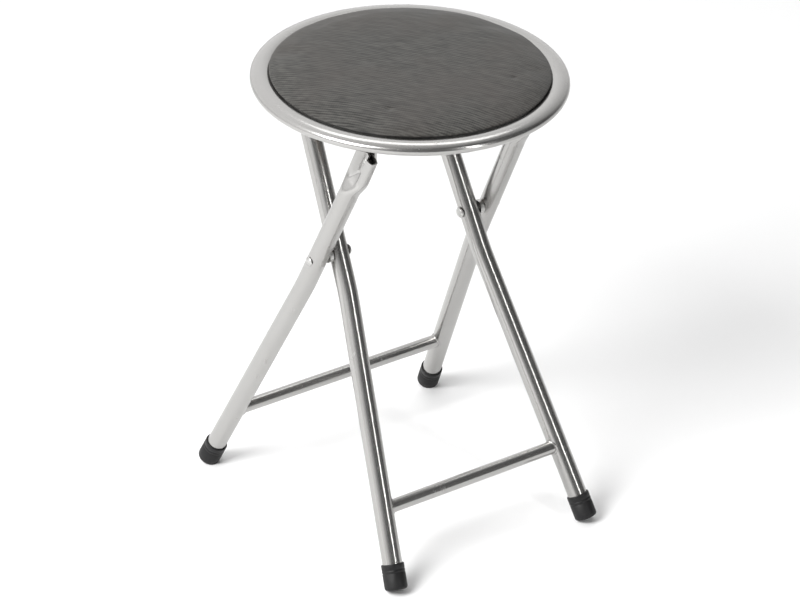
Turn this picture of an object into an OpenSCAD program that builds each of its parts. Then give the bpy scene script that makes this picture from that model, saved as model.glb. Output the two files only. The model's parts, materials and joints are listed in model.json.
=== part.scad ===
// Round folding stool: a padded seat in a steel ring, on two crossed tube frames.
// +Z is up, the hinge axes lie along X, and the outer frame's feet stand at the back (+Y).
// The origin is on the floor, under the middle of the bounding box.
// Each frame is drawn flat in its own XZ plane, with the scissor pivot at its origin, and
// is then leaned about X. "t" below is a height in that plane, measured from the pivot.

/* [Seat] */
// Height of the top of the seat ring above the floor
ring_top = 450; // [430:1:470]
// Outer diameter of the seat ring
ring_d = 297.2; // [290:0.1:310]
// Width of the oval ring tube, across the ring
ring_tube_w = 21.6; // [18:0.1:24]
// Height of the oval ring tube
ring_tube_h = 12.3; // [10:0.1:14]
// Height of the pad's crown above the ring
pad_crown = 10; // [6:0.5:16]
// Thickness of the plywood seat board
board_t = 8; // [6:0.5:10]

/* [Tubes] */
// Outer diameter of the leg tubes
tube_d = 19; // [18:0.1:20]
// Wall of the leg tubes
tube_wall = 1.2; // [1:0.1:2]
// Outer diameter of the crossbars
bar_d = 13.2; // [12:0.1:14]
// Wall of the crossbars
bar_wall = 1; // [0.8:0.1:1.5]

/* [Scissor pivot] */
// Height of the scissor pivot above the floor
pivot_z = 281.2; // [275:0.1:285]
// The pivot's place in front of (-) or behind (+) the seat's middle
pivot_y = 0.8; // [-2:0.1:2]

/* [Outer frame] */
// Lean of the outer frame from the vertical, top to the front
outer_lean = 25.35; // [24:0.05:26]
// Half the distance between the outer legs' axes at their bends
outer_half = 101.4; // [100:0.1:103]
// Splay of the outer legs below the bend
outer_splay_low = 6.9; // [6:0.1:8]
// Splay of the outer legs above the bend
outer_splay_up = 2.5; // [2:0.1:3]
// Height of the outer crossbar above the floor
outer_bar_z = 72.2; // [65:0.1:85]

/* [Inner frame] */
// Lean of the inner frame from the vertical, top to the back
inner_lean = 29.87; // [29:0.01:31]
// Half the distance between the inner legs' axes at their bends
inner_half = 77.8; // [76:0.1:79]
// Splay of the inner legs below the bend
inner_splay_low = 7.2; // [6:0.1:8]
// Splay of the inner legs above the bend
inner_splay_up = 2.8; // [2:0.1:3]
// Height of the inner crossbar above the floor
inner_bar_z = 69.7; // [65:0.1:85]
// Height of the axis of the inner frame's top bar above the floor
top_bar_z = 424.5; // [422:0.1:425]

/* [Feet] */
// Outer diameter of the rubber ferrules
ferrule_d = 22; // [21:0.1:24]
// Length of the rubber ferrules
ferrule_len = 25; // [20:1:30]

/* [Hidden] */
$fn = 64;

silver = "silver";
charcoal = "dimgray";
black = [0.12, 0.12, 0.12];
zinc = [0.72, 0.72, 0.74];
ply = [0.35, 0.27, 0.21];

tube_r = tube_d / 2;
bar_r = bar_d / 2;

// Where the legs bend, in their own plane
bend_t = -40;
bend_bulge = 0.08;

// Fits: clearance in a hinge's bore, and the gap that keeps two bodies' faces apart
hinge_gap = 0.05;
face_gap = 0.3;

// Seat heights
ring_z = ring_top - ring_tube_h / 2;
ring_bottom = ring_top - ring_tube_h;
ring_mid_r = (ring_d - ring_tube_w) / 2;
ring_wall = 1;
board_top = ring_bottom + board_t;
crown_z = ring_top + pad_crown;

// Ferrules: the bottom edge is rounded, and worn flat where it meets the floor
ferrule_r = ferrule_d / 2;
ferrule_edge = 3;
ferrule_base = 3;
foot_flat = 0.8;

// A leg's direction in space is (-sin splay, -+sin lean cos splay, cos lean cos splay)
function leg_rise(lean, splay) = cos(lean) * cos(splay);

// Height of the middle of a ferrule's end, so that its edge stands on the floor
function sole_z(rise) =
    (ferrule_r - ferrule_edge) * sqrt(1 - rise * rise)
    + ferrule_edge * (1 - rise) - foot_flat;

// Height in the frame's plane of a height above the floor
function plane_t(z, lean) = (z - pivot_z) / cos(lean);

// Half the distance between a frame's legs at height t
function half_at(half, low, up, t) = half - (t - bend_t) * tan(t > bend_t ? up : low);

outer_foot_t = plane_t(sole_z(leg_rise(outer_lean, outer_splay_low)), outer_lean);
inner_foot_t = plane_t(sole_z(leg_rise(inner_lean, inner_splay_low)), inner_lean);
outer_bar_t = plane_t(outer_bar_z, outer_lean);
inner_bar_t = plane_t(inner_bar_z, inner_lean);

// Outer legs' flattened tops, which carry the seat's pivots
flat_t = 12;
flat_w = 25;
crimp_from = 104;
crimp_to = 128;
outer_top_t = 152.5;
seat_pivot_t = 141;
seat_pivot_y = pivot_y - seat_pivot_t * sin(outer_lean);
seat_pivot_z = pivot_z + seat_pivot_t * cos(outer_lean);
flat_x = half_at(outer_half, outer_splay_low, outer_splay_up, seat_pivot_t);

// Inner frame's top bow
bow_r = 32;
bow_t = plane_t(top_bar_z, inner_lean);
bow_z = bow_t - bow_r;
bow_x = half_at(inner_half, inner_splay_low, inner_splay_up, bow_z + bow_r * sin(inner_splay_up))
    - bow_r * cos(inner_splay_up);
top_bar_y = pivot_y + bow_t * sin(inner_lean);

// Scissor rivets
rivet_r = 3.2;
outer_x = half_at(outer_half, outer_splay_low, outer_splay_up, 0);
inner_x = half_at(inner_half, inner_splay_low, inner_splay_up, 0);
slant = 0.35; // how far a leaning tube's side stands proud at the edge of a washer

// Seat rails
rail_t = 2.5;
washer_t = 1;
rail_out = flat_x - flat_t / 2 - washer_t - 0.1;
rail_in = 66;
flange_t = 2;
web_bottom = ring_bottom - 9;
ear_r = 7;
seat_rivet_r = 3;

// Everything is drawn about the seat's middle, and then moved so that the box is centred:
// the front is an inner ferrule's edge, and the back is the seat ring.
inner_sole = sole_z(leg_rise(inner_lean, inner_splay_low));
inner_run = sin(inner_lean) * cos(inner_splay_low);
front_y = pivot_y + inner_foot_t * sin(inner_lean) + ferrule_edge * inner_run
    - (ferrule_r - ferrule_edge) * sqrt(1 - inner_run * inner_run) - ferrule_edge;
centre_y = -(front_y + ring_d / 2) / 2;
echo(centre_y = centre_y, seat_pivot = [seat_pivot_y + centre_y, seat_pivot_z], flat_x = flat_x,
     scissor_y = pivot_y + centre_y, top_bar_y = top_bar_y, bow_x = bow_x, front_y = front_y);

// ---- Placing ----

module about_seat() {
    translate([0, centre_y, 0]) children();
}

module outer_plane() {
    about_seat() translate([0, pivot_y, pivot_z]) rotate([outer_lean, 0, 0]) children();
}

module inner_plane() {
    about_seat() translate([0, pivot_y, pivot_z]) rotate([-inner_lean, 0, 0]) children();
}

// side is -1 for left and 1 for right; the parts are drawn on the right
module on_side(side) {
    if (side < 0) mirror([1, 0, 0]) children();
    else children();
}

// A part along X from x0 to x1
module along_x(x0, x1, r) {
    translate([x0, 0, 0]) rotate([0, 90, 0]) cylinder(r = r, h = x1 - x0);
}

// A low domed rivet head, its flat side on the XY plane
module dome(r, h) {
    ball = (r * r + h * h) / (2 * h);
    rotate_extrude() intersection() {
        translate([0, h - ball]) circle(r = ball, $fn = 96);
        square([r, h]);
    }
}

// ---- Frame tubes ----

// A leg as a solid rod of radius r from t_foot up to t_top. A ball a hair wider than the rod
// rounds its bend.
module leg_rod(half, low, up, t_foot, t_top, r) {
    translate([half, 0, bend_t]) {
        rotate([0, -up, 0]) cylinder(r = r, h = (t_top - bend_t) / cos(up));
        rotate([0, 180 - low, 0]) cylinder(r = r, h = (bend_t - t_foot) / cos(low));
        sphere(r = r + bend_bulge);
    }
}

module outer_rod(r, t_top = crimp_from, more = 0) {
    leg_rod(outer_half, outer_splay_low, outer_splay_up, outer_foot_t + ferrule_base - more,
            t_top, r);
}

module inner_rod(r, more = 0) {
    leg_rod(inner_half, inner_splay_low, inner_splay_up, inner_foot_t + ferrule_base - more,
            bow_z + bow_r * sin(inner_splay_up) + more, r);
}

// Section of the flattened end, with round edges
module flat_section(thick, wide, h) {
    edge = thick / 2;
    for (y = [-1, 1]) translate([0, y * (wide / 2 - edge), 0]) cylinder(r = edge, h = h);
    translate([-edge, edge - wide / 2, 0]) cube([thick, wide - thick, h]);
}

// The flare from round tube to flattened end starts inside the tube and ends inside the flat
module crimped_top() {
    start = crimp_from - 4;
    inset = 0.4;
    hull() {
        translate([half_at(outer_half, outer_splay_low, outer_splay_up, start), 0, start])
            rotate([0, -outer_splay_up, 0]) cylinder(r = tube_r - inset, h = 0.1, $fn = 32);
        translate([flat_x, 0, crimp_to + 1])
            flat_section(flat_t - inset, flat_w - inset, 0.1, $fn = 32);
    }
    translate([flat_x, 0, crimp_to]) flat_section(flat_t, flat_w, outer_top_t - crimp_to);
}

module outer_leg(side) {
    color(silver) outer_plane() on_side(side) difference() {
        union() {
            outer_rod(tube_r);
            crimped_top();
        }
        outer_rod(tube_r - tube_wall, crimp_from - 6, 1);
        along_x(outer_x - 2 * tube_r, outer_x + 2 * tube_r, rivet_r);
        translate([0, 0, seat_pivot_t]) along_x(flat_x - flat_t, flat_x + flat_t, seat_rivet_r);
    }
}

module inner_leg(side) {
    color(silver) inner_plane() on_side(side) difference() {
        inner_rod(tube_r);
        inner_rod(tube_r - tube_wall, 1);
        along_x(inner_x - 2 * tube_r, inner_x + 2 * tube_r, rivet_r + hinge_gap);
    }
}

// One bend of the bow: the stretch of a torus from one angle up to 90 degrees
module bow_bend(r) {
    reach = 2 * bow_r;
    intersection() {
        rotate([90, 0, 0]) rotate_extrude($fn = 180) translate([bow_r, 0]) circle(r = r);
        translate([0, r + 1, 0]) rotate([90, 0, 0]) linear_extrude(2 * r + 2) polygon([
            [0, 0], reach * [cos(inner_splay_up), sin(inner_splay_up)],
            [reach, reach], [0, reach]
        ]);
    }
}

// The bow as a solid rod: two bends and the top bar
module bow_rod(r) {
    translate([0, 0, bow_t]) along_x(-bow_x, bow_x, r);
    for (side = [-1, 1]) on_side(side)
        translate([bow_x, 0, bow_z]) bow_bend(r);
}

module inner_top_bow() {
    color(silver) inner_plane() difference() {
        bow_rod(tube_r);
        bow_rod(tube_r - tube_wall);
    }
}

// A straight bar between a frame's legs, its ends cut to fit round them
module crossbar(t, half) {
    difference() {
        translate([0, 0, t]) along_x(-half, half, bar_r);
        translate([0, 0, t]) along_x(-half - 1, half + 1, bar_r - bar_wall);
        for (side = [-1, 1]) on_side(side) children();
    }
}

module outer_crossbar() {
    color(silver) outer_plane()
        crossbar(outer_bar_t, half_at(outer_half, outer_splay_low, outer_splay_up, outer_bar_t))
            outer_rod(tube_r);
}

module inner_crossbar() {
    color(silver) inner_plane()
        crossbar(inner_bar_t, half_at(inner_half, inner_splay_low, inner_splay_up, inner_bar_t))
            inner_rod(tube_r);
}

// ---- Ferrules ----

module ferrule_profile() {
    difference() {
        square([ferrule_r, ferrule_len]);
        translate([ferrule_r - ferrule_edge, 0]) difference() {
            square(ferrule_edge);
            translate([0, ferrule_edge]) circle(r = ferrule_edge);
        }
        translate([0, ferrule_base]) square([tube_r, ferrule_len]);
    }
}

module ferrule(half, low, up, t_foot) {
    translate([half_at(half, low, up, t_foot), 0, t_foot]) rotate([0, -low, 0])
        rotate_extrude() ferrule_profile();
}

// Rubber worn flat at the floor
module above_floor() {
    difference() {
        children();
        translate([-250, -250, -20]) cube([500, 500, 20]);
    }
}

module outer_ferrule(side) {
    color(black) above_floor() outer_plane() on_side(side)
        ferrule(outer_half, outer_splay_low, outer_splay_up, outer_foot_t);
}

module inner_ferrule(side) {
    color(black) above_floor() inner_plane() on_side(side)
        ferrule(inner_half, inner_splay_low, inner_splay_up, inner_foot_t);
}

// ---- Pivots ----

module at_scissor(side) {
    about_seat() translate([0, pivot_y, pivot_z]) on_side(side) children();
}

module at_seat_pivot(side) {
    about_seat() translate([0, seat_pivot_y, seat_pivot_z]) on_side(side) children();
}

head_lap = 0.5; // how far a rivet's shank runs into its heads
scissor_head_in = inner_x - tube_r - slant;
scissor_head_out = outer_x + tube_r + 0.2;

module scissor_rivet(side) {
    color(zinc) at_scissor(side) {
        along_x(scissor_head_in - head_lap, scissor_head_out + head_lap, rivet_r);
        translate([scissor_head_in, 0, 0]) rotate([0, -90, 0]) dome(5.5, 3.2);
        translate([scissor_head_out, 0, 0]) rotate([0, 90, 0]) dome(4.6, 1.8);
    }
}

module scissor_spacer(side) {
    color(zinc) at_scissor(side) difference() {
        along_x(inner_x + tube_r + slant + 0.1, outer_x - tube_r - slant, 7);
        along_x(inner_x, outer_x, rivet_r);
    }
}

module seat_rivet(side) {
    ear_in = rail_out - rail_t - 0.1;
    leg_out = flat_x + flat_t / 2;
    color(zinc) at_seat_pivot(side) {
        along_x(ear_in - head_lap, leg_out + head_lap, seat_rivet_r);
        translate([ear_in, 0, 0]) rotate([0, -90, 0]) dome(5, 2);
        translate([leg_out, 0, 0]) rotate([0, 90, 0]) dome(5, 1.6);
    }
}

module seat_washer(side) {
    color(zinc) at_seat_pivot(side) difference() {
        along_x(rail_out + 0.1, rail_out + 0.1 + washer_t, 6);
        along_x(rail_out, rail_out + 2 * washer_t, seat_rivet_r);
    }
}

// ---- Seat ----

// An oval drawn as four arcs: two round ends, and a shallow arc above and below
module oval(w, h) {
    end_r = 0.75 * h / 2;
    end_x = w / 2 - end_r;
    rise = h / 2 - end_r;
    drop = (end_x * end_x - rise * rise) / (2 * rise);
    big_r = drop + h / 2;
    touch_x = end_x * big_r / (big_r - end_r);
    for (x = [-end_x, end_x]) translate([x, 0]) circle(r = end_r);
    intersection() {
        translate([0, -drop]) circle(r = big_r, $fn = 180);
        translate([0, drop]) circle(r = big_r, $fn = 180);
        square([2 * touch_x, h], center = true);
    }
}

module ring_solid(w, h) {
    translate([0, 0, ring_z]) rotate_extrude($fn = 180) translate([ring_mid_r, 0]) oval(w, h);
}

module seat_ring() {
    vent_r = 2.5;
    color(silver) about_seat() difference() {
        ring_solid(ring_tube_w, ring_tube_h);
        ring_solid(ring_tube_w - 2 * ring_wall, ring_tube_h - 2 * ring_wall);
        translate([0, ring_mid_r, ring_bottom - 2]) cylinder(r = vent_r, h = 5);
    }
}

// The rail's web, seen from the side: shallow under the ring, with the pivot's ear hanging down
module web_profile() {
    slope = 22;
    ends = sqrt(pow(ring_mid_r, 2) - pow(rail_out, 2)) + 1;
    top = ring_bottom;
    polygon([
        [-ends, top], [-ends, top - flange_t], [slope - ends, web_bottom],
        [seat_pivot_y - ear_r, web_bottom], [seat_pivot_y - ear_r, seat_pivot_z],
        [seat_pivot_y + ear_r, seat_pivot_z], [seat_pivot_y + 4 * ear_r, web_bottom],
        [ends - slope, web_bottom], [ends, top - flange_t], [ends, top]
    ]);
    translate([seat_pivot_y, seat_pivot_z]) circle(r = ear_r);
}

screw_x = 75;
screw_y = 52;
screw_r = 2;

module seat_rail(side) {
    color(silver) about_seat() on_side(side) difference() {
        intersection() {
            union() {
                translate([rail_out - rail_t, 0, 0]) rotate([90, 0, 90])
                    linear_extrude(rail_t) web_profile();
                translate([rail_in, -150, ring_bottom - flange_t])
                    cube([rail_out - rail_in, 300, flange_t]);
            }
            translate([0, 0, seat_pivot_z - 20]) cylinder(r = ring_mid_r, h = 60, $fn = 180);
        }
        translate([0, seat_pivot_y, seat_pivot_z])
            along_x(rail_out - 2 * rail_t, rail_out + rail_t, seat_rivet_r + hinge_gap);
        for (y = [-screw_y, screw_y])
            translate([screw_x, y, ring_bottom - 10]) cylinder(r = screw_r + 0.2, h = 20);
    }
}

board_r = 125;
hem_in = 108;
skin = 1;

module seat_board() {
    color(ply) about_seat() difference() {
        translate([0, 0, ring_bottom]) cylinder(r = board_r, h = board_t, $fn = 180);
        // Rebate for the cover's turned-in hem
        translate([0, 0, ring_bottom - 1]) difference() {
            cylinder(r = board_r + 1, h = 1 + skin, $fn = 180);
            translate([0, 0, -1]) cylinder(r = hem_in - 0.5, h = 4, $fn = 180);
        }
        for (x = [-screw_x, screw_x], y = [-screw_y, screw_y])
            translate([x, y, ring_bottom - 1]) cylinder(r = screw_r, h = 7);
        for (x = [-clip_x, clip_x], y = clip_screw_ys)
            translate([x, y, ring_bottom - 1]) cylinder(r = clip_screw_r, h = 7);
    }
}

// The pad's upper outline is a superellipse: flat in the middle, round at the rim
pad_r = 131;
pad_rim_z = ring_top + 0.5;
pad_power = 3.2;
pad_steps = 28;

function pad_edge(r, h) = [
    for (i = [0 : pad_steps])
        let (a = 90 * i / pad_steps)
        [r * pow(cos(a), 2 / pad_power), pad_rim_z + h * sin(a)]
];

function reversed(list) = [for (i = [len(list) - 1 : -1 : 0]) list[i]];

module seat_foam() {
    color("khaki") about_seat() rotate_extrude($fn = 180) polygon(concat(
        [[0, board_top], [board_r, board_top]],
        pad_edge(pad_r - skin, crown_z - skin - pad_rim_z)
    ));
}

module seat_cover() {
    side_r = board_r + skin;
    color(charcoal) about_seat() rotate_extrude($fn = 180) polygon(concat(
        [[hem_in, ring_bottom], [side_r - 1, ring_bottom], [side_r, ring_bottom + 1],
         [side_r, board_top + 0.5]],
        pad_edge(pad_r, crown_z - pad_rim_z),
        reversed(pad_edge(pad_r - skin, crown_z - skin - pad_rim_z)),
        [[board_r, board_top], [board_r, ring_bottom + skin], [hem_in, ring_bottom + skin]]
    ));
}

// ---- Catch for the inner frame's top bar ----

clip_x = 21;
clip_w = 16;
clip_screw_r = 1.75;
clip_screw_ys = [top_bar_y - 20, top_bar_y + 19];
// The bar leaves the saddle downwards and to the front, at this angle from the vertical
leave_angle = 28;

module clip_profile() {
    saddle_r = tube_r + face_gap;
    mouth_half = saddle_r + 0.4;
    head = ring_bottom - top_bar_z;
    difference() {
        union() {
            translate([-15, -6]) square([29, head + 6]);
            translate([-26, head - 3]) square([51, 3]);
        }
        circle(r = saddle_r);
        rotate(-leave_angle) translate([-mouth_half, -40]) square([2 * mouth_half, 39]);
    }
}

module catch_clip(side) {
    color(black) about_seat() on_side(side) difference() {
        translate([clip_x - clip_w / 2, top_bar_y, top_bar_z]) rotate([90, 0, 90])
            linear_extrude(clip_w) clip_profile();
        for (y = clip_screw_ys)
            translate([clip_x, y, ring_bottom - 10]) cylinder(r = clip_screw_r + 0.15, h = 12);
    }
}

// ---- Fasteners, each group one node ----

// A pan-head screw driven upwards, its head's flat side at the origin
module screw(r, len) {
    cylinder(r = r, h = len);
    mirror([0, 0, 1]) difference() {
        dome(2 * r, 1.1 * r);
        for (a = [0, 90]) rotate(a) translate([-r, -0.3, 0.5 * r]) cube([2 * r, 0.6, r]);
    }
}

module rail_screws() {
    color(zinc) about_seat() for (x = [-screw_x, screw_x], y = [-screw_y, screw_y])
        translate([x, y, ring_bottom - flange_t]) screw(screw_r, flange_t + 6);
}

module clip_screws() {
    color(zinc) about_seat() for (x = [-clip_x, clip_x], y = clip_screw_ys)
        translate([x, y, ring_bottom - 3]) screw(clip_screw_r, 8.5);
}

// Staples through the cover's hem, with none where a rail's flange covers it
module cover_staples() {
    count = 20;
    wire = 0.6;
    staple_r = (hem_in + board_r) / 2;
    flange_x = (rail_in + rail_out) / 2;
    color(zinc) about_seat() for (i = [0 : count - 1]) {
        angle = 360 * (i + 0.5) / count;
        if (abs(abs(staple_r * cos(angle)) - flange_x) > 15)
            rotate(angle) translate([staple_r, -5, ring_bottom - wire]) cube([wire, 10, wire]);
    }
}

outer_leg(-1);  // outer_leg_left
outer_leg(1);  // outer_leg_right
outer_crossbar();
outer_ferrule(-1);  // outer_ferrule_left
outer_ferrule(1);  // outer_ferrule_right
scissor_rivet(-1);  // scissor_rivet_left
scissor_rivet(1);  // scissor_rivet_right
scissor_spacer(-1);  // scissor_spacer_left
scissor_spacer(1);  // scissor_spacer_right
seat_rivet(-1);  // seat_rivet_left
seat_rivet(1);  // seat_rivet_right
seat_washer(-1);  // seat_washer_left
seat_washer(1);  // seat_washer_right
inner_leg(-1);  // inner_leg_left
inner_leg(1);  // inner_leg_right
inner_top_bow();
inner_crossbar();
inner_ferrule(-1);  // inner_ferrule_left
inner_ferrule(1);  // inner_ferrule_right
seat_ring();
seat_rail(-1);  // seat_rail_left
seat_rail(1);  // seat_rail_right
seat_board();
seat_foam();
seat_cover();
catch_clip(-1);  // catch_clip_left
catch_clip(1);  // catch_clip_right
rail_screws();
clip_screws();
cover_staples();
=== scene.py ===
"""Looks of a round padded folding stool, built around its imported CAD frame."""

import json
import math
import random

import bmesh
import bpy
import numpy as np
from mathutils import Matrix, Vector, kdtree, noise


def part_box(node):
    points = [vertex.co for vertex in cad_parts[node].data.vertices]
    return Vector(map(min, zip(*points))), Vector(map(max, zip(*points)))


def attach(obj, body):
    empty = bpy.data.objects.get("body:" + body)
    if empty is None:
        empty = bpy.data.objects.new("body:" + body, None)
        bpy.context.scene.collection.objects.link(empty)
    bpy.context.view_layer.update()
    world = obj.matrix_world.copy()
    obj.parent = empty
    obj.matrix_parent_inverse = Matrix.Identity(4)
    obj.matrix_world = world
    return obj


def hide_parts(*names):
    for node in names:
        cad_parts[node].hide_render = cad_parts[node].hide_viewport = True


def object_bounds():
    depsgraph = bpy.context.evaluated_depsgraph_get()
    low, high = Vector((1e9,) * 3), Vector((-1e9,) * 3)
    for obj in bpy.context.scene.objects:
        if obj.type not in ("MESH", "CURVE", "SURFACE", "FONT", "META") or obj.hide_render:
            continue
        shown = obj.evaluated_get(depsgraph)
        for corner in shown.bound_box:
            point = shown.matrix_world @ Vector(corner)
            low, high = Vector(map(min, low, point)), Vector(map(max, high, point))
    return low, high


MM = 0.001

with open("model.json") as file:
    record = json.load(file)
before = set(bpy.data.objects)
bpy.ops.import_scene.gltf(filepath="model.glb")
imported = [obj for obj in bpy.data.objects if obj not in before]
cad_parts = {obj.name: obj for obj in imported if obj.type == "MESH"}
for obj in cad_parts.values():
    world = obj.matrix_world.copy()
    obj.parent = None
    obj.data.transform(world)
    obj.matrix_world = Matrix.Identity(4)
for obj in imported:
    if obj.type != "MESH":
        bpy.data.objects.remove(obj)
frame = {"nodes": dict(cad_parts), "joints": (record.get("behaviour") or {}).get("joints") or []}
cad_low, cad_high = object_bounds()

# ---------------------------------------------------------------- sizes, in metres

joints = {j["name"]: j for j in frame["joints"]}
SCISSOR = Vector(joints["scissor_fold"]["pos_m"])
SEAT_PIVOT = Vector(joints["seat_fold"]["pos_m"])

ring_low, ring_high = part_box("seat_ring")
RING_CENTRE = (ring_low + ring_high) / 2
RING_R = (ring_high.x - ring_low.x) / 2
RING_HALF_W = 10.8 * MM
RING_HALF_H = (ring_high.z - ring_low.z) / 2
RING_MID_R = RING_R - RING_HALF_W

TUBE_R = 9.5 * MM
TUBE_WALL = 1.2 * MM
BAR_FIT = 0.98  # the drawn bar is a little thinner than the CAD bar
bar_low, bar_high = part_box("outer_crossbar")
BAR_R = (bar_high.z - bar_low.z) / 2 * BAR_FIT
BEND_T = -40 * MM
BEND_REACH = 12 * MM
BEND_STEPS = 9

FERRULE_R = 11 * MM
FERRULE_LEN = 25 * MM
FERRULE_EDGE = 3 * MM
FERRULE_BASE = 3 * MM
SOCKET_GAP = 0.5 * MM
FOOT_FLAT = 0.8 * MM


def lean_of(node):
    """Lean of the frame whose crossbar is that node, about the scissor pivot.
    It is positive where the frame's top is to the front."""
    low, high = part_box(node)
    middle = (low + high) / 2 - SCISSOR
    return math.atan2(middle.y, -middle.z)


class Side:
    """One of the two crossed frames, drawn in its own plane: x across, t up from the scissor pivot.
    half is from its middle to a leg's axis at the bend; low and up are the legs' splay below and
    above the bend, in degrees."""

    def __init__(self, name, half, low, up):
        self.name = name
        self.body = name + "_frame"
        self.half = half
        self.low = math.radians(low)
        self.up = math.radians(up)
        self.lean = lean_of(name + "_crossbar")
        bar_low, bar_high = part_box(name + "_crossbar")
        self.bar_t = ((bar_low + bar_high) / 2 - SCISSOR).z / math.cos(self.lean)
        rise = math.cos(self.lean) * math.cos(self.low)
        sole = (FERRULE_R - FERRULE_EDGE) * math.sqrt(1 - rise * rise)
        sole += FERRULE_EDGE * (1 - rise)
        self.foot_t = (sole - FOOT_FLAT - SCISSOR.z) / math.cos(self.lean)

    def point(self, x, n, t):
        """A point at x across, n off the plane and t up it."""
        c, s = math.cos(self.lean), math.sin(self.lean)
        return Vector((x, SCISSOR.y + n * c - t * s, SCISSOR.z + n * s + t * c))

    def half_at(self, t):
        """Half the distance between the legs' axes, with a smooth bend."""
        low, up = math.tan(self.low), math.tan(self.up)
        straight = self.half - (t - BEND_T) * (up if t > BEND_T else low)
        into = BEND_REACH - abs(t - BEND_T)
        if into <= 0:
            return straight
        return straight + (low - up) * into * into / (4 * BEND_REACH)

    def splay_at(self, t):
        """The leg's angle from the plane's vertical."""
        step = 0.5 * MM
        return math.atan((self.half_at(t - step) - self.half_at(t + step)) / (2 * step))


def hand(side):
    """The side's name: -1 is left, 1 is right."""
    return "left" if side < 0 else "right"


OUTER = Side("outer", half=101.4 * MM, low=6.9, up=2.5)
INNER = Side("inner", half=77.8 * MM, low=7.2, up=2.8)
FLAT_AT = 141 * MM
FLAT_X = OUTER.half_at(FLAT_AT)

# ---------------------------------------------------------------- mesh helpers

ON_AXIS = 1e-7


def turn(count):
    """Angles of one even turn."""
    return np.linspace(0, 2 * math.pi, count, endpoint=False)


def about_seat(angle, r, z):
    """A point at an angle and radius round the seat's axis."""
    x = RING_CENTRE.x + r * math.cos(angle)
    y = RING_CENTRE.y + r * math.sin(angle)
    return Vector((x, y, z))


def mesh_object(name, verts, faces, crease=40):
    """A smooth-shaded object with edges sharper than crease degrees kept sharp."""
    mesh = bpy.data.meshes.new(name)
    mesh.from_pydata([tuple(v) for v in verts], [], faces)
    mesh.validate()
    mesh.update()
    mesh.shade_smooth()
    mesh.set_sharp_from_angle(angle=math.radians(crease))
    obj = bpy.data.objects.new(name, mesh)
    bpy.context.scene.collection.objects.link(obj)
    return obj


def skin(name, loops, closed=False, caps=True, crease=40):
    """Skins closed loops of points, all of one length, into a tube or, if closed, into a ring."""
    n = len(loops[0])
    verts = [v for loop in loops for v in loop]
    spans = len(loops) if closed else len(loops) - 1
    faces = []
    for i in range(spans):
        a, b = i * n, (i + 1) % len(loops) * n
        for j in range(n):
            k = (j + 1) % n
            faces.append((a + j, a + k, b + k, b + j))
    if caps and not closed:
        faces.append(tuple(range(n - 1, -1, -1)))
        faces.append(tuple((len(loops) - 1) * n + j for j in range(n)))
    obj = mesh_object(name, verts, faces, crease)
    fix_normals(obj)
    return obj


def fix_normals(obj):
    """Points a closed mesh's faces outwards."""
    bm = bmesh.new()
    bm.from_mesh(obj.data)
    bmesh.ops.recalc_face_normals(bm, faces=bm.faces)
    bm.to_mesh(obj.data)
    bm.free()


def lathe(name, profile, place, around=64, crease=40):
    """Turns a closed profile of (radius, height) round an axis.
    place maps (x, y, height) to the frame."""
    verts, faces, index = [], [], []
    for r, h in profile:
        if r < ON_AXIS:
            index.append([len(verts)] * around)
            verts.append(place(0, 0, h))
            continue
        index.append(list(range(len(verts), len(verts) + around)))
        for j in range(around):
            a = 2 * math.pi * j / around
            verts.append(place(r * math.cos(a), r * math.sin(a), h))
    for p in range(len(profile)):
        q = (p + 1) % len(profile)
        for j in range(around):
            k = (j + 1) % around
            face = []
            for v in (index[p][j], index[p][k], index[q][k], index[q][j]):
                if v not in face:
                    face.append(v)
            if len(face) > 2:
                faces.append(tuple(face))
    obj = mesh_object(name, verts, faces, crease)
    fix_normals(obj)
    return obj


def arc(cx, cy, r, start, end, steps):
    """Points on a circle's arc, in degrees."""
    return [
        (cx + r * math.cos(math.radians(a)), cy + r * math.sin(math.radians(a)))
        for a in np.linspace(start, end, steps)
    ]


def smoothstep(low, high, value):
    """0 at low and 1 at high, smooth between them."""
    u = min(max((value - low) / (high - low), 0), 1)
    return u * u * (3 - 2 * u)


def finish_piece(obj, body, slot, material, *nodes):
    """Rides a piece on its body, gives it its material and hides the CAD nodes that it stands for.
    """
    obj.data.materials.clear()
    obj.data.materials.append(material)
    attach(obj, body)
    if nodes:
        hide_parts(*nodes)
    return obj


# ---------------------------------------------------------------- materials


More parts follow.
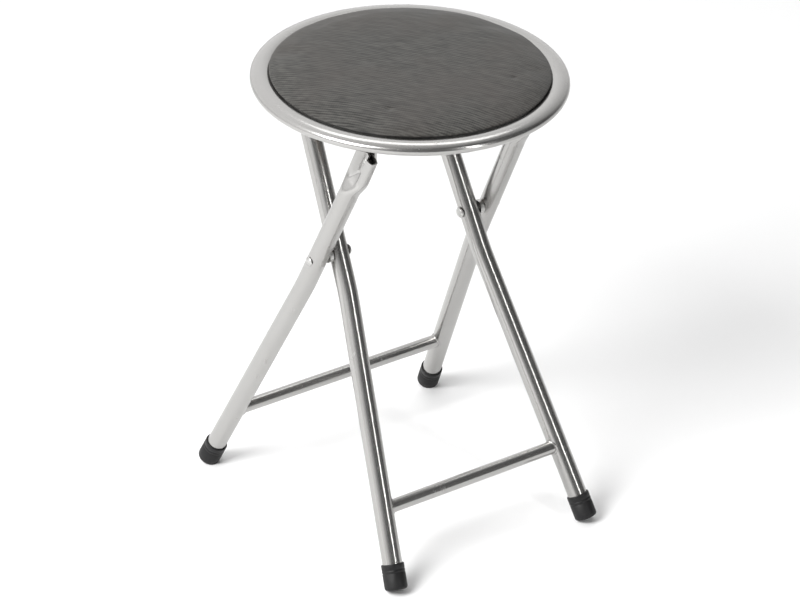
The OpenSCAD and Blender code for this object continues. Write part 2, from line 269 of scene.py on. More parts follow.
class Nodes:
    """A node material and short calls to fill it."""

    def __init__(self, name, **sockets):
        self.material = bpy.data.materials.new(name)
        self.material.use_nodes = True
        self.tree = self.material.node_tree
        self.shader = self.tree.nodes["Principled BSDF"]
        for socket, value in sockets.items():
            self.shader.inputs[socket.replace("_", " ")].default_value = value
        self.place = self.add("ShaderNodeTexCoord").outputs["Object"]

    def add(self, kind, **inputs):
        """A node of that kind with its inputs filled."""
        node = self.tree.nodes.new(kind)
        for socket, value in inputs.items():
            self.put(node.inputs[socket.replace("_", " ")], value)
        return node

    def put(self, socket, value):
        """Links the value to a socket if it is a socket itself, or else sets it."""
        if isinstance(value, bpy.types.NodeSocket):
            self.tree.links.new(value, socket)
        else:
            socket.default_value = value

    def noise(self, scale, detail=3, roughness=0.5, stretch=(1, 1, 1), place=None):
        """Noise, stretched along the axes, in object space or in a given space."""
        place = self.place if place is None else place
        moved = self.add("ShaderNodeMapping", Vector=place, Scale=stretch).outputs[0]
        node = self.add("ShaderNodeTexNoise", Vector=moved, Scale=scale, Detail=detail)
        node.inputs["Roughness"].default_value = roughness
        return node.outputs["Fac"]

    def ramp(self, value, low, high, to_low=0.0, to_high=1.0):
        """The value, mapped from low..high to to_low..to_high."""
        node = self.add("ShaderNodeMapRange", Value=value)
        node.inputs["From Min"].default_value = low
        node.inputs["From Max"].default_value = high
        node.inputs["To Min"].default_value = to_low
        node.inputs["To Max"].default_value = to_high
        return node.outputs[0]

    def math(self, operation, a, b=0.0):
        """One operation on two values."""
        node = self.tree.nodes.new("ShaderNodeMath")
        node.operation = operation
        self.put(node.inputs[0], a)
        self.put(node.inputs[1], b)
        return node.outputs[0]

    def mix(self, factor, a, b):
        """A mix of two colours; sockets 6 and 7 are the colours in, and 2 is the colour out."""
        node = self.tree.nodes.new("ShaderNodeMix")
        node.data_type = "RGBA"
        self.put(node.inputs[0], factor)
        for socket, value in zip(node.inputs[6:8], (a, b)):
            self.put(socket, value if isinstance(value, bpy.types.NodeSocket) else (*value, 1))
        return node.outputs[2]

    def bump(self, height, distance, strength):
        """A normal bumped by a height."""
        node = self.add("ShaderNodeBump", Height=height, Distance=distance, Strength=strength)
        return node.outputs[0]

    def set(self, socket, value):
        """Fills a socket of the material's shader."""
        self.put(self.shader.inputs[socket], value)


def silver_paint():
    """Silver metallic paint: fine flakes, a barely uneven surface, and slight scuffs."""
    m = Nodes("silver_paint", Metallic=0.92, Coat_Weight=0.06, Coat_Roughness=0.1)
    flakes = m.noise(2600, 1)
    cloud = m.noise(38, 4)
    scuff = m.noise(150, 5, 0.62, (1, 1, 0.16))
    tone = m.mix(m.ramp(flakes, 0.3, 0.7), (0.38, 0.375, 0.366), (0.47, 0.464, 0.454))
    tone = m.mix(m.ramp(cloud, 0.35, 0.75, 0.0, 0.35), tone, (0.40, 0.392, 0.38))
    m.set("Base Color", m.mix(m.ramp(scuff, 0.68, 0.78, 0.0, 0.5), tone, (0.29, 0.285, 0.275)))
    rough = m.ramp(cloud, 0.3, 0.7, 0.2, 0.25)
    m.set("Roughness", m.math("ADD", rough, m.ramp(scuff, 0.62, 0.8, 0.0, 0.14)))
    m.set("Normal", m.bump(m.noise(260, 1), 0.00001, 0.05))
    return m.material


def zinc():
    """Zinc-plated steel with fine turning marks and dull spots."""
    m = Nodes("zinc_plate", Metallic=1.0)
    spots = m.noise(420, 4)
    fine = m.noise(2600, 2)
    tone = m.mix(m.ramp(spots, 0.35, 0.7), (0.60, 0.60, 0.59), (0.38, 0.375, 0.36))
    m.set("Base Color", m.mix(m.ramp(fine, 0.55, 0.75, 0.0, 0.4), tone, (0.29, 0.28, 0.26)))
    m.set("Roughness", m.ramp(spots, 0.3, 0.75, 0.24, 0.46))
    m.set("Normal", m.bump(fine, 0.00004, 0.5))
    return m.material


RUBBED_UP_TO = 6 * MM


def rubber():
    """Moulded black rubber: fine matt grain, dust and rubbed edges near the floor."""
    m = Nodes("black_rubber", Specular_IOR_Level=0.32)
    grain = m.noise(2400, 3)
    dust = m.noise(110, 5, 0.6)
    height = m.add("ShaderNodeSeparateXYZ", Vector=m.place).outputs["Z"]
    near_floor = m.ramp(height, RUBBED_UP_TO, 0.0)
    worn = m.math("MULTIPLY", near_floor, m.ramp(dust, 0.4, 0.65, 0.2, 1.0))
    tone = m.mix(m.ramp(dust, 0.45, 0.8, 0.0, 0.5), (0.008, 0.008, 0.0085), (0.024, 0.0235, 0.023))
    m.set("Base Color", m.mix(m.math("MULTIPLY", worn, 0.6), tone, (0.07, 0.068, 0.066)))
    m.set("Roughness", m.ramp(dust, 0.3, 0.75, 0.42, 0.66))
    m.set("Normal", m.bump(grain, 0.00008, 0.5))
    return m.material


WEAVE_TURN = math.radians(53)
RIB_PITCH = 3.2 * MM
CROSS_PITCH = 2.1 * MM
WANDER = 4 * MM


def vinyl():
    """Charcoal vinyl with a fine slubbed weave: long broken ribs one way, short ones across."""
    m = Nodes("charcoal_vinyl", Specular_IOR_Level=0.22, Sheen_Weight=0.06, Sheen_Roughness=0.5)
    turned = m.add("ShaderNodeMapping", Vector=m.place, Rotation=(0, 0, WEAVE_TURN)).outputs[0]
    flat = m.add("ShaderNodeSeparateXYZ", Vector=turned)
    wander = m.math("MULTIPLY", m.noise(30, 2), WANDER)
    across = m.math("ADD", flat.outputs["Y"], wander)
    along = m.math("ADD", flat.outputs["X"], wander)
    ribs = m.math("SINE", m.math("MULTIPLY", across, 2 * math.pi / RIB_PITCH))
    cross = m.math("SINE", m.math("MULTIPLY", along, 2 * math.pi / CROSS_PITCH))
    slubs = m.noise(420, 2, stretch=(0.13, 1, 1), place=turned)
    dashes = m.noise(620, 1, stretch=(0.2, 1, 1), place=turned)
    ridge = m.math("ADD", m.ramp(ribs, -1, 1, 0.0, 0.6), m.ramp(cross, -1, 1, 0.0, 0.2))
    ridge = m.math("ADD", ridge, m.ramp(dashes, 0.3, 0.7, 0.0, 0.7))
    ridge = m.math("ADD", ridge, m.ramp(slubs, 0.3, 0.7, 0.0, 0.7))
    cloud = m.noise(11, 3)
    tone = m.mix(m.ramp(ridge, 0.45, 1.75), (0.016, 0.0157, 0.0146), (0.084, 0.0815, 0.0750))
    tone = m.mix(m.ramp(cloud, 0.4, 0.65, 0.0, 0.4), tone, (0.057, 0.0485, 0.0435))
    m.set("Base Color", tone)
    m.set("Roughness", m.ramp(dashes, 0.3, 0.7, 0.48, 0.62))
    m.set("Normal", m.bump(ridge, 0.00016, 0.4))
    return m.material


def plywood():
    """Dark-stained plywood: long grain on the faces, with darker pores."""
    m = Nodes("stained_plywood", Specular_IOR_Level=0.35)
    grain = m.noise(26, 6, 0.62, (9, 0.9, 9))
    pores = m.noise(240, 3, 0.5, (8, 0.5, 8))
    tone = m.mix(m.ramp(grain, 0.3, 0.7), (0.085, 0.062, 0.047), (0.15, 0.115, 0.09))
    m.set("Base Color", m.mix(m.ramp(pores, 0.6, 0.75, 0.0, 0.6), tone, (0.045, 0.032, 0.024)))
    m.set("Roughness", m.ramp(grain, 0.3, 0.7, 0.5, 0.65))
    m.set("Normal", m.bump(grain, 0.0001, 0.4))
    return m.material


def nylon():
    """Black moulded nylon with a fine spark-eroded texture."""
    m = Nodes("black_nylon", Specular_IOR_Level=0.45)
    grain = m.noise(1900, 2)
    cloud = m.noise(60, 3)
    m.set("Base Color", m.mix(m.ramp(cloud, 0.3, 0.7), (0.018, 0.018, 0.019), (0.036, 0.036, 0.037)))
    m.set("Roughness", m.ramp(cloud, 0.3, 0.7, 0.38, 0.5))
    m.set("Normal", m.bump(grain, 0.00006, 0.5))
    return m.material


SILVER = silver_paint()
ZINC = zinc()
RUBBER = rubber()
VINYL = vinyl()
PLYWOOD = plywood()
NYLON = nylon()

# ---------------------------------------------------------------- camera

CAMERA_AZIMUTH = math.radians(-36.564)
CAMERA_ELEVATION = math.radians(30.211)
CAMERA_ROLL = math.radians(1.916)
CAMERA_DISTANCE = 3.850
CAMERA_TARGET = Vector((0.0248, 0.0466, 0.1792))
CAMERA_LENS = 178.66
SENSOR_WIDTH = 36


def make_camera():
    """The camera, on its sphere round the target and rolled a little."""
    az, el = CAMERA_AZIMUTH, CAMERA_ELEVATION
    back = Vector((math.sin(az) * math.cos(el), -math.cos(az) * math.cos(el), math.sin(el)))
    right = Vector((0, 0, 1)).cross(back).normalized()
    up = back.cross(right)
    c, s = math.cos(CAMERA_ROLL), math.sin(CAMERA_ROLL)
    right, up = right * c + up * s, up * c - right * s
    data = bpy.data.cameras.new("camera")
    data.lens = CAMERA_LENS
    data.sensor_width = SENSOR_WIDTH
    camera = bpy.data.objects.new("camera", data)
    turned = Matrix((right, up, back)).transposed().to_4x4()
    camera.matrix_world = Matrix.Translation(CAMERA_TARGET + back * CAMERA_DISTANCE) @ turned
    bpy.context.scene.collection.objects.link(camera)
    bpy.context.scene.camera = camera


make_camera()

# ---------------------------------------------------------------- frame tubes

LOOP = 48
LEG_LOOP = 120
CRIMP_FROM = 100 * MM
CRIMP_TO = 123 * MM
OUTER_TOP = 152.5 * MM
FLAT_OUT = 4.2 * MM
FLAT_IN = -6 * MM
FLAT_HALF_W = 13 * MM
TROUGH_FROM = 103 * MM
TROUGH_TO = 132 * MM
TROUGH_BOTTOM = -1.8 * MM
TROUGH_HALF = (7.0 * MM, 1.2 * MM)
TROUGH_SLOPE = (0.5, 1.3)
TROUGH_ABOVE_BORE = 0.2 * MM
SQUARENESS = 1.6
CRIMP_LEAD = 4 * MM
CRIMP_STEPS = 52
TOP_EDGE = 0.5 * MM
TOP_BEVEL = 0.25 * MM
BORE_DEPTHS = (6 * MM, 14 * MM)
BOW_R = 32 * MM
BOW_STEPS = 18
BAR_INSET = 7.5 * MM
BAR_STATIONS = 7

WELD_SEEDS = {"left": 11, "right": 23}
WELD_R = 1.35 * MM
WELD_ROUGH = 0.16 * MM
WELD_FLAT = 0.8
WELD_LIFT = 0.2 * MM
WELD_SINK = 0.985


def leg_section(t, wall=0.0):
    """The outer leg's section at t, as (off the axis outwards, along the plane's normal).
    It is round, then flattened. A trough is pressed into its outer side, wide and shallow below,
    narrow and deep above, which leaves an open lobe on each side of it."""
    flat = smoothstep(CRIMP_FROM, CRIMP_TO, t)
    middle_a = (FLAT_OUT + FLAT_IN) / 2 * flat
    half_a = TUBE_R + ((FLAT_OUT - FLAT_IN) / 2 - TUBE_R) * flat - wall
    half_b = TUBE_R + (FLAT_HALF_W - TUBE_R) * flat - wall
    power = 2 / (2 + SQUARENESS * flat)
    pressed = smoothstep(TROUGH_FROM, TROUGH_TO, t)
    bottom = TUBE_R + (TROUGH_BOTTOM - TUBE_R) * pressed
    half_width = TROUGH_HALF[0] + (TROUGH_HALF[1] - TROUGH_HALF[0]) * pressed
    slope = TROUGH_SLOPE[0] + (TROUGH_SLOPE[1] - TROUGH_SLOPE[0]) * pressed
    steep = math.hypot(1, slope)
    floor_a = middle_a - half_a + (TROUGH_ABOVE_BORE if wall else 2 * TUBE_WALL)
    points = []
    for j in range(LEG_LOOP):
        angle = 2 * math.pi * (j + 0.5) / LEG_LOOP
        c, s = math.cos(angle), math.sin(angle)
        a = middle_a + half_a * math.copysign(abs(c) ** power, c)
        b = half_b * math.copysign(abs(s) ** power, s)
        if c > 0:
            trough = bottom + slope * max(0, abs(b) - half_width) - wall * steep
            a = max(min(a, trough), min(a, floor_a))
        points.append((a, b))
    return points


def below_and_bend(frame_side):
    """Heights of a leg's sections from inside its ferrule to the end of its bend."""
    bend = np.linspace(BEND_T - BEND_REACH, BEND_T + BEND_REACH, BEND_STEPS)
    return [frame_side.foot_t + FERRULE_BASE + SOCKET_GAP] + list(bend)


def outer_leg(side):
    """A leg of the outer frame, round below, with a flattened, grooved and open top."""

    def loop(t, wall=0.0):
        flat = smoothstep(CRIMP_FROM, CRIMP_TO, t)
        x = OUTER.half_at(t) * (1 - flat) + FLAT_X * flat
        s = OUTER.splay_at(t) * (1 - flat)
        return [
            OUTER.point(side * (x + a * math.cos(s)), b, t + a * math.sin(s))
            for a, b in leg_section(t, wall)
        ]

    stations = below_and_bend(OUTER)
    stations += list(np.linspace(CRIMP_FROM - CRIMP_LEAD, OUTER_TOP - TOP_EDGE, CRIMP_STEPS))
    loops = [loop(t) for t in stations]
    loops += [loop(OUTER_TOP, TOP_BEVEL), loop(OUTER_TOP, TUBE_WALL)]
    loops += [loop(OUTER_TOP - depth, TUBE_WALL) for depth in BORE_DEPTHS]
    name = "outer_leg_" + hand(side)
    obj = skin(name + "_tube", loops, crease=50)
    finish_piece(obj, OUTER.body, "frame_silver", SILVER, name)


def round_loop(frame_side, x, t, splay):
    """A round section of a tube in a frame's plane."""
    points = []
    for j in range(LOOP):
        angle = 2 * math.pi * j / LOOP
        a, n = TUBE_R * math.cos(angle), TUBE_R * math.sin(angle)
        points.append(frame_side.point(x + a * math.cos(splay), n, t + a * math.sin(splay)))
    return points


def inner_tube():
    """The inner frame's one bent tube: up one leg, across under the seat, and down the other."""
    bow_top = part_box("inner_top_bow")[1].z
    bow_t = ((bow_top - TUBE_R) - SCISSOR.z) / math.cos(INNER.lean)
    arc_t = bow_t - BOW_R
    join_t = arc_t + BOW_R * math.sin(INNER.up)
    arc_x = INNER.half_at(join_t) - BOW_R * math.cos(INNER.up)
    path = [(INNER.half_at(t), t, INNER.splay_at(t)) for t in below_and_bend(INNER)]
    for angle in np.linspace(INNER.up, math.pi / 2, BOW_STEPS):
        path.append((arc_x + BOW_R * math.cos(angle), arc_t + BOW_R * math.sin(angle), angle))
    other = [(-x, t, math.pi - s) for x, t, s in reversed(path)]
    loops = [round_loop(INNER, x, t, s) for x, t, s in path + other]
    obj = skin("inner_bent_tube", loops, crease=50)
    nodes = ("inner_leg_left", "inner_leg_right", "inner_top_bow")
    finish_piece(obj, INNER.body, "frame_silver", SILVER, *nodes)


def crossbar(frame_side):
    """The bar between a frame's legs."""
    half = frame_side.half_at(frame_side.bar_t) - BAR_INSET
    loops = []
    for x in np.linspace(-half, half, BAR_STATIONS):
        loops.append([
            frame_side.point(x, BAR_R * math.cos(a), frame_side.bar_t + BAR_R * math.sin(a))
            for a in turn(LOOP)
        ])
    obj = skin(frame_side.name + "_bar", loops, crease=50)
    finish_piece(obj, frame_side.body, "frame_silver", SILVER, frame_side.name + "_crossbar")


def bar_weld(frame_side, side):
    """The weld bead where a crossbar meets a leg."""
    rng = random.Random(WELD_SEEDS[hand(side)])
    splay = frame_side.splay_at(frame_side.bar_t)
    reach = BAR_R + WELD_LIFT
    loops = []
    for angle in turn(56):
        n, up = math.cos(angle), math.sin(angle)
        bead = WELD_R + WELD_ROUGH * rng.uniform(-1, 1)
        saddle = math.sqrt(TUBE_R**2 - (reach * n) ** 2)
        axis_x = frame_side.half_at(frame_side.bar_t) - reach * up * math.tan(splay)
        x = axis_x - saddle * WELD_SINK
        loops.append([
            frame_side.point(
                side * (x + bead * math.cos(b)),
                (reach + bead * WELD_FLAT * math.sin(b)) * n,
                frame_side.bar_t + (reach + bead * WELD_FLAT * math.sin(b)) * up,
            )
            for b in turn(12)
        ])
    name = f"{frame_side.name}_weld_{hand(side)}"
    obj = skin(name, loops, closed=True, crease=80)
    finish_piece(obj, frame_side.body, "frame_silver", SILVER)


GROOVES = (16.5 * MM, 19.5 * MM)
GROOVE_HALF = 0.6 * MM
GROOVE_FLOOR = 0.2 * MM
GROOVE_DEPTH = 0.35 * MM
LIP_R = 0.8 * MM


def ferrule(frame_side, side):
    """A rubber foot: rounded sole worn flat at the floor, two fine grooves and a soft lip."""
    t = frame_side.foot_t
    x = frame_side.half_at(t)
    s = frame_side.low

    def place(a, n, h):
        across = side * (x + a * math.cos(s) - h * math.sin(s))
        point = frame_side.point(across, n, t + a * math.sin(s) + h * math.cos(s))
        point.z = max(point.z, 0.0)
        return point

    r, top = FERRULE_R, FERRULE_LEN
    outer = [(0, 0), (r - FERRULE_EDGE, 0)]
    outer += arc(r - FERRULE_EDGE, FERRULE_EDGE, FERRULE_EDGE, -80, 0, 10)
    for groove in GROOVES:
        outer += [(r, groove - GROOVE_HALF), (r - GROOVE_DEPTH, groove - GROOVE_FLOOR)]
        outer += [(r - GROOVE_DEPTH, groove + GROOVE_FLOOR), (r, groove + GROOVE_HALF)]
    outer += [(r, top - 1.0 * MM)]
    outer += arc(r - LIP_R, top - LIP_R, LIP_R, 10, 90, 6)
    outer += [(TUBE_R + 0.25 * MM, top - 0.1 * MM), (TUBE_R + 0.02 * MM, top - 0.5 * MM)]
    outer += [(TUBE_R + 0.02 * MM, FERRULE_BASE), (0, FERRULE_BASE)]
    name = f"{frame_side.name}_ferrule_{hand(side)}"
    obj = lathe(name + "_rubber", outer, place, 72, 50)
    finish_piece(obj, frame_side.body, "ferrule_rubber", RUBBER, name)


for side in (-1, 1):
    outer_leg(side)
    for frame_side in (OUTER, INNER):
        bar_weld(frame_side, side)
        ferrule(frame_side, side)
inner_tube()
crossbar(OUTER)
crossbar(INNER)

# ---------------------------------------------------------------- rivets


def along_x(side, y, z):
    """Places a turned part with its axis along X, pointing outwards on that side."""
    return lambda u, v, h: Vector((side * h, y + u, z + v))


SHOULDER = 0.985
SCISSOR_RIVET_R = 3.2 * MM
SCISSOR_HEADS = ((5.5 * MM, 3.2 * MM), (4.6 * MM, 1.8 * MM))
SEAT_RIVET_R = 3 * MM
SEAT_HEADS = ((5 * MM, 2 * MM), (3.9 * MM, 1.4 * MM))
SEAT_HEAD_GAP = 0.2 * MM
RIVET_AROUND = 40


def rivet_profile(start, end, r, head_in, head_out):
    """A rivet from start to end with a domed head (radius, height) at each end."""
    points = []
    (r_in, h_in), (r_out, h_out) = head_in, head_out
    for a in np.linspace(90, 8, 9):
        points.append((r_in * math.cos(math.radians(a)), start - h_in * math.sin(math.radians(a))))
    points += [(r_in * SHOULDER, start), (r, start), (r, end), (r_out * SHOULDER, end)]
    for a in np.linspace(8, 90, 9):
        points.append((r_out * math.cos(math.radians(a)), end + h_out * math.sin(math.radians(a))))
    return points


def pivots(side):
    """The scissor rivet and the seat rivet of one side, each with a domed head at both ends."""
    name = "scissor_rivet_" + hand(side)
    low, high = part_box(name)
    start = min(abs(low.x), abs(high.x)) + SCISSOR_HEADS[0][1]
    end = max(abs(low.x), abs(high.x)) - SCISSOR_HEADS[1][1]
    profile = rivet_profile(start, end, SCISSOR_RIVET_R, *SCISSOR_HEADS)
    rivet = lathe(name + "_domed", profile, along_x(side, SCISSOR.y, SCISSOR.z), RIVET_AROUND)
    finish_piece(rivet, OUTER.body, "zinc_steel", ZINC, name)

    name = "seat_rivet_" + hand(side)
    low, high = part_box(name)
    start = min(abs(low.x), abs(high.x)) + SEAT_HEADS[0][1]
    end = FLAT_X + TROUGH_BOTTOM + SEAT_HEAD_GAP
    profile = rivet_profile(start, end, SEAT_RIVET_R, *SEAT_HEADS)
    rivet = lathe(name + "_domed", profile, along_x(side, SEAT_PIVOT.y, SEAT_PIVOT.z), RIVET_AROUND)
    finish_piece(rivet, OUTER.body, "zinc_steel", ZINC, name)


for side in (-1, 1):
    pivots(side)

# ---------------------------------------------------------------- seat ring


RING_AROUND = 480
RING_END_STEPS = 21
RING_LONG_STEPS = 15
RING_ROUNDNESS = 0.75

BEAD_OFF_FACE = 1 * MM
BEAD_INSET = 3 * MM
BEAD_HALF_LEN = 5.5 * MM
BEAD_R = 1.5 * MM
BEAD_ROUGH = 0.2 * MM
BEAD_TAPER = 1.02
BEAD_WIDTH = 1.9
BEAD_SINK = 0.1 * MM


def oval():
    """The ring tube's section, as four arcs: two round ends and a shallow arc above and below."""
    end_r = RING_ROUNDNESS * RING_HALF_H
    end_x = RING_HALF_W - end_r
    rise = RING_HALF_H - end_r
    drop = (end_x**2 - rise**2) / (2 * rise)
    big_r = drop + RING_HALF_H
    touch = math.degrees(math.atan2(drop, end_x))
    right = arc(end_x, 0, end_r, -touch, touch, RING_END_STEPS)
    top = arc(0, -drop, big_r, touch, 180 - touch, RING_LONG_STEPS)
    left = [(-u, v) for u, v in reversed(right)]
    bottom = [(u, -v) for u, v in reversed(top)]
    return right + top[1:-1] + left + bottom[1:-1]


def seat_ring():
    """The ring tube round the pad."""
    section = oval()
    loops = [
        [about_seat(angle, RING_MID_R + u, RING_CENTRE.z + v) for u, v in section]
        for angle in turn(RING_AROUND)
    ]
    obj = skin("seat_ring_tube", loops, closed=True, crease=60)
    finish_piece(obj, "seat", "frame_silver", SILVER, "seat_ring")


def rail_beads():
    """A weld bead on each side of each rail's end, under the ring."""
    for name in ("seat_rail_left", "seat_rail_right"):
        low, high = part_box(name)
        side = -1 if name.endswith("left") else 1
        web_x = side * max(abs(low.x), abs(high.x))
        for end in (-1, 1):
            rng = random.Random(40 + side + 2 * end)
            across = web_x - side * BEAD_OFF_FACE - RING_CENTRE.x
            reach = math.sqrt(RING_MID_R**2 - across**2)
            bottom = RING_CENTRE.z - RING_HALF_H
            loops = []
            for u in np.linspace(-1, 1, 23):
                y = RING_CENTRE.y + end * (reach - BEAD_INSET) + u * BEAD_HALF_LEN
                rough = BEAD_R + BEAD_ROUGH * rng.uniform(-1, 1)
                size = rough * math.sqrt(BEAD_TAPER - u * u)
                centre = Vector((web_x - side * BEAD_OFF_FACE, y, bottom - BEAD_SINK))
                loops.append([
                    centre + Vector((BEAD_WIDTH * size * math.cos(a), 0, size * math.sin(a)))
                    for a in turn(18)
                ])
            place = "front" if end < 0 else "back"
            bead = skin(f"{name}_bead_{place}", loops, crease=70)
            finish_piece(bead, "seat", "frame_silver", SILVER)


seat_ring()
rail_beads()

# ---------------------------------------------------------------- pad

PAD_R = 131.6 * MM
PAD_RIM_Z = RING_CENTRE.z + RING_HALF_H + 0.5 * MM
PAD_CROWN_Z = cad_high[2]
PAD_POWER = 2.8
PAD_SHIFT = Vector((0.7 * MM, 0.4 * MM, 0))
PAD_SIDE_R = 126 * MM
PAD_AROUND = 180
PAD_START = 0.9 * MM
FOLD_UNDER = 5 * MM

PAD_WAVES = ((0.45 * MM, 14, 0.3), (0.16 * MM, 42, 2.1))
PAD_DIMPLES = (
    (-68 * MM, -62 * MM, 1.6 * MM, 3.0 * MM),
    (65 * MM, -73 * MM, 1.1 * MM, 2.6 * MM),
)

VOXEL = 4 * MM
LAST_FRAME = 20
PAD_SWELL = 2 * MM
HELD_BELOW = PAD_RIM_Z - 3.5 * MM
SMOOTH_STEPS = 14
NEAREST = 6

HEM_IN = 108 * MM
HEM_LOOPS = 720


def pad_height(x, y):
    """Small unevenness of the stuffed pad: gentle waves, and two dimples where the foam is low."""
    wave = 0
    for rise, frequency, layer in PAD_WAVES:
        wave += rise * noise.noise(Vector((x, y, layer)) * frequency)
    for dimple_x, dimple_y, depth, width in PAD_DIMPLES:
        away = (x - dimple_x) ** 2 + (y - dimple_y) ** 2
        wave -= depth * math.exp(-away / width**2)
    return wave


def pad_mesh(name, inset):
    """The pad's closed form: its crowned outline turned round the seat's axis, down its side to the
    board's edge, and closed inside the board."""
    radius = PAD_R - inset
    height = PAD_CROWN_Z - inset - PAD_RIM_Z
    board_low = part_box("seat_board")[0].z
    top = PAD_RIM_Z + height
    profile = [(0, top), (3 * MM, top), (7 * MM, top)]
    for a in np.linspace(88, 0, 45):
        r = radius * math.cos(math.radians(a)) ** (2 / PAD_POWER)
        profile.append((r, PAD_RIM_Z + height * math.sin(math.radians(a))))
    for u in np.linspace(0.15, 1, 6):
        profile.append((radius + (PAD_SIDE_R - radius) * u, PAD_RIM_Z - FOLD_UNDER * u))
    profile += [(PAD_SIDE_R, board_low + 4 * MM), (PAD_SIDE_R - 1 * MM, board_low + 3 * MM)]
    profile += [(0, board_low + 3 * MM)]

    def place(x, y, h):
        return Vector((RING_CENTRE.x + x, RING_CENTRE.y + y, h))

    return lathe(name, profile, place, PAD_AROUND, 50)


def applied(obj, kind, **settings):
    """Applies one modifier to an object's mesh."""
    modifier = obj.modifiers.new(kind.lower(), kind)
    for key, value in settings.items():
        setattr(modifier, key, value)
    graph = bpy.context.evaluated_depsgraph_get()
    mesh = bpy.data.meshes.new_from_object(obj.evaluated_get(graph))
    obj.modifiers.clear()
    obj.data = mesh


def swell(obj, cap, held_below):
    """Swells a closed pad with cloth pressure, each point by no more than cap; what is below that
    height is wrapped round the board and stays. An even copy of the mesh is simulated, and the pad
    takes the copy's moves, so that its outline stays clean."""
    body = bpy.data.objects.new("pad_body", obj.data.copy())
    bpy.context.scene.collection.objects.link(body)
    applied(body, "REMESH", mode="VOXEL", voxel_size=VOXEL)
    start = [v.co.copy() for v in body.data.vertices]
    held = body.vertex_groups.new(name="held")
    held.add([i for i, co in enumerate(start) if co.z < held_below], 1.0, "REPLACE")
    cloth = body.modifiers.new("cloth", "CLOTH")
    cloth.settings.quality = 6
    cloth.settings.mass = 0.3
    cloth.settings.tension_stiffness = 15
    cloth.settings.compression_stiffness = 8
    cloth.settings.shear_stiffness = 5
    cloth.settings.bending_stiffness = 0.2
    cloth.settings.use_pressure = True
    cloth.settings.uniform_pressure_force = 4
    cloth.settings.effector_weights.gravity = 0
    cloth.settings.vertex_group_mass = "held"
    cloth.point_cache.frame_start = 1
    cloth.point_cache.frame_end = LAST_FRAME
    scene = bpy.context.scene
    for frame_number in range(1, LAST_FRAME + 1):
        scene.frame_set(frame_number)
    graph = bpy.context.evaluated_depsgraph_get()
    swollen = [v.co.copy() for v in body.evaluated_get(graph).data.vertices]
    moves = np.array([after - before for before, after in zip(start, swollen)])
    ends = np.array([edge.vertices[:] for edge in body.data.edges])
    bpy.data.objects.remove(body)
    scene.frame_set(1)
    shares = np.bincount(ends.ravel(), minlength=len(moves))[:, None]
    for _ in range(SMOOTH_STEPS):
        total = np.zeros_like(moves)
        np.add.at(total, ends[:, 0], moves[ends[:, 1]])
        np.add.at(total, ends[:, 1], moves[ends[:, 0]])
        moves = (moves + total / shares) / 2
    tree = kdtree.KDTree(len(start))
    for i, co in enumerate(start):
        tree.insert(co, i)
    tree.balance()
    for vertex in obj.data.vertices:
        near = [moves[i] for _, i, _ in tree.find_n(vertex.co, NEAREST)]
        move = Vector(np.mean(near, axis=0))
        vertex.co += move * min(1, cap / max(move.length, 1e-9))


def dent(obj):
    """Fits a pad to its radius and crown, sits it a little to one side as sewn, and gives its top
    its unevenness."""
    points = [v.co for v in obj.data.vertices]
    top = max(co.z for co in points)
    wide = max(math.hypot(co.x - RING_CENTRE.x, co.y - RING_CENTRE.y) for co in points)
    for v in obj.data.vertices:
        co = v.co
        loose = smoothstep(PAD_RIM_Z - 4 * MM, PAD_RIM_Z, co.z)
        grow = 1 + (PAD_R / wide - 1) * loose
        co.x = RING_CENTRE.x + (co.x - RING_CENTRE.x) * grow
        co.y = RING_CENTRE.y + (co.y - RING_CENTRE.y) * grow
        co += PAD_SHIFT * loose
        if co.z > PAD_RIM_Z:
            crown = (PAD_CROWN_Z - PAD_RIM_Z) / (top - PAD_RIM_Z)
            co.z = PAD_RIM_Z + (co.z - PAD_RIM_Z) * crown
        x, y = co.x - RING_CENTRE.x, co.y - RING_CENTRE.y
        above = smoothstep(PAD_RIM_Z - 1 * MM, PAD_RIM_Z + 5 * MM, co.z)
        inside = 1 - smoothstep(0.86 * PAD_R, PAD_R, math.hypot(x, y))
        co.z = min(co.z + pad_height(x, y) * above * inside, PAD_CROWN_Z)


def seat_pad():
    """The stuffed pad: foam and cover as one piece."""
    cover = pad_mesh("seat_pad_cover", PAD_START)
    swell(cover, PAD_SWELL, HELD_BELOW)
    applied(cover, "SUBSURF", levels=1, render_levels=1)
    dent(cover)
    cover.data.shade_smooth()
    finish_piece(cover, "seat", "pad_vinyl", VINYL, "seat_cover", "seat_foam")


def hem_pleats():
    """The hem's pleats, each as (angle, depth, width)."""
    rng = random.Random(5)
    pleats = []
    angle = -0.05
    while angle < 2 * math.pi - 0.12:
        angle += rng.uniform(0.07, 0.15)
        depth = rng.uniform(0.35, 0.75)
        pleats.append((angle, depth, rng.uniform(0.010, 0.018)))
    return pleats


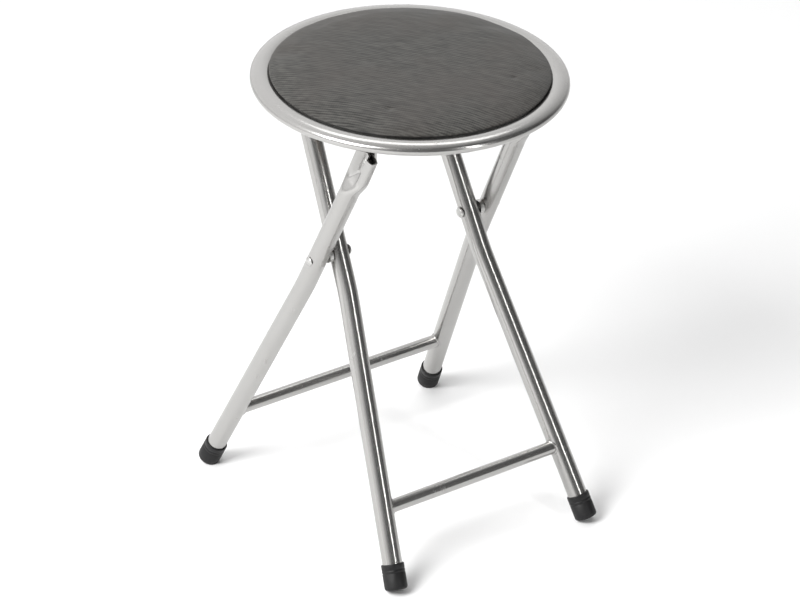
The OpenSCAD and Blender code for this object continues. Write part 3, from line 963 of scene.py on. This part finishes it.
def seat_hem():
    """The cover's edge, drawn tight round the board, gathered in small pleats and trimmed under it.
    Its outline runs down the side, in under the board, round the trimmed edge and back out."""
    board_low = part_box("seat_board")[0].z
    under = board_low + 0.12 * MM
    pleats = hem_pleats()
    loops = []
    for i in range(HEM_LOOPS):
        angle = 2 * math.pi * i / HEM_LOOPS
        fold = sum(h * math.exp(-(((angle - at) / w) ** 2)) for at, h, w in pleats)
        trim = 0.9 * MM * noise.noise(Vector((math.cos(angle), math.sin(angle), 0)) * 5)
        inner = HEM_IN + 1.2 * MM + trim
        outline = [
            (PAD_SIDE_R - 0.6 * MM, board_low + 6 * MM),
            (PAD_SIDE_R, board_low + 4 * MM),
            (PAD_SIDE_R, board_low + 1.6 * MM),
            (PAD_SIDE_R - 0.4 * MM, board_low + 0.7 * MM),
            (PAD_SIDE_R - 1.2 * MM, under + (0.25 - 0.2 * fold) * MM),
            (PAD_SIDE_R - 3 * MM, under + (0.5 - 0.5 * fold) * MM),
            (PAD_SIDE_R - 8 * MM, under + (0.6 - 0.45 * fold) * MM),
            (inner + 2 * MM, under + (0.55 - 0.2 * fold) * MM),
            (inner, under + 0.4 * MM),
            (inner, under + 0.8 * MM),
            (PAD_SIDE_R - 2 * MM, under + 0.82 * MM),
            (PAD_SIDE_R - 1 * MM, board_low + 6 * MM),
        ]
        loops.append([about_seat(angle, r, z) for r, z in outline])
    obj = skin("seat_cover_hem", loops, closed=True, crease=70)
    finish_piece(obj, "seat", "pad_vinyl", VINYL)


seat_pad()
seat_hem()

# ---------------------------------------------------------------- CAD nodes that stay

STAY = {
    "scissor_spacer_left": ZINC,
    "scissor_spacer_right": ZINC,
    "seat_washer_left": ZINC,
    "seat_washer_right": ZINC,
    "seat_rail_left": SILVER,
    "seat_rail_right": SILVER,
    "seat_board": PLYWOOD,
    "catch_clip_left": NYLON,
    "catch_clip_right": NYLON,
    "rail_screws": ZINC,
    "clip_screws": ZINC,
    "cover_staples": ZINC,
}
for name, material in STAY.items():
    for slot in frame["nodes"][name].material_slots:
        slot.material = material

# ---------------------------------------------------------------- floor and light


FLOOR_HALF = 9.0
DARK_SIDE = (0.36, -0.89, 0.27)


def floor():
    """A wide pale floor."""
    corners = [(-1, -1), (1, -1), (1, 1), (-1, 1)]
    mesh = bpy.data.meshes.new("floor")
    mesh.from_pydata([(x * FLOOR_HALF, y * FLOOR_HALF, 0) for x, y in corners], [], [(0, 1, 2, 3)])
    obj = bpy.data.objects.new("floor", mesh)
    bpy.context.scene.collection.objects.link(obj)
    m = Nodes("pale_floor", Roughness=0.9, Specular_IOR_Level=0.1)
    m.set("Base Color", (0.94, 0.94, 0.94, 1))
    mesh.materials.append(m.material)


def area_light(name, position, target, size, power, size_y=None):
    """A rectangular light aimed at a target; it is square where size_y is left out."""
    data = bpy.data.lights.new(name, "AREA")
    data.shape = "RECTANGLE"
    data.size = size
    data.size_y = size_y or size
    data.energy = power
    obj = bpy.data.objects.new(name, data)
    obj.location = position
    aim = Vector(target) - Vector(position)
    obj.rotation_euler = aim.to_track_quat("-Z", "Y").to_euler()
    bpy.context.scene.collection.objects.link(obj)


def studio():
    """A white surround, bright behind the stool and dark to the front right of it."""
    world = bpy.data.worlds.new("studio")
    world.use_nodes = True
    tree = world.node_tree
    background = tree.nodes["Background"]
    direction = tree.nodes.new("ShaderNodeTexCoord").outputs["Generated"]
    toward = tree.nodes.new("ShaderNodeVectorMath")
    toward.operation = "DOT_PRODUCT"
    tree.links.new(direction, toward.inputs[0])
    toward.inputs[1].default_value = DARK_SIDE
    ramp = tree.nodes.new("ShaderNodeMapRange")
    ramp.interpolation_type = "SMOOTHSTEP"
    tree.links.new(toward.outputs["Value"], ramp.inputs["Value"])
    ramp.inputs["From Min"].default_value = -0.5
    ramp.inputs["From Max"].default_value = 0.75
    ramp.inputs["To Min"].default_value = 1.2
    ramp.inputs["To Max"].default_value = 0.08
    tree.links.new(ramp.outputs[0], background.inputs["Strength"])
    background.inputs["Color"].default_value = (1, 1, 1, 1)
    bpy.context.scene.world = world


floor()
studio()
area_light("key", position=(-2.3, -0.2, 2.2), target=(0, 0, 0.3), size=1.5, power=105)
area_light("back", position=(0.9, 1.2, 2.75), target=(0, 0, 0.4), size=1.6, power=9, size_y=0.5)
area_light("strip", position=(0.45, -2.6, 1.3), target=(0, 0, 0.3), size=0.12, power=17, size_y=2.4)
bpy.context.scene.view_settings.view_transform = "Standard"
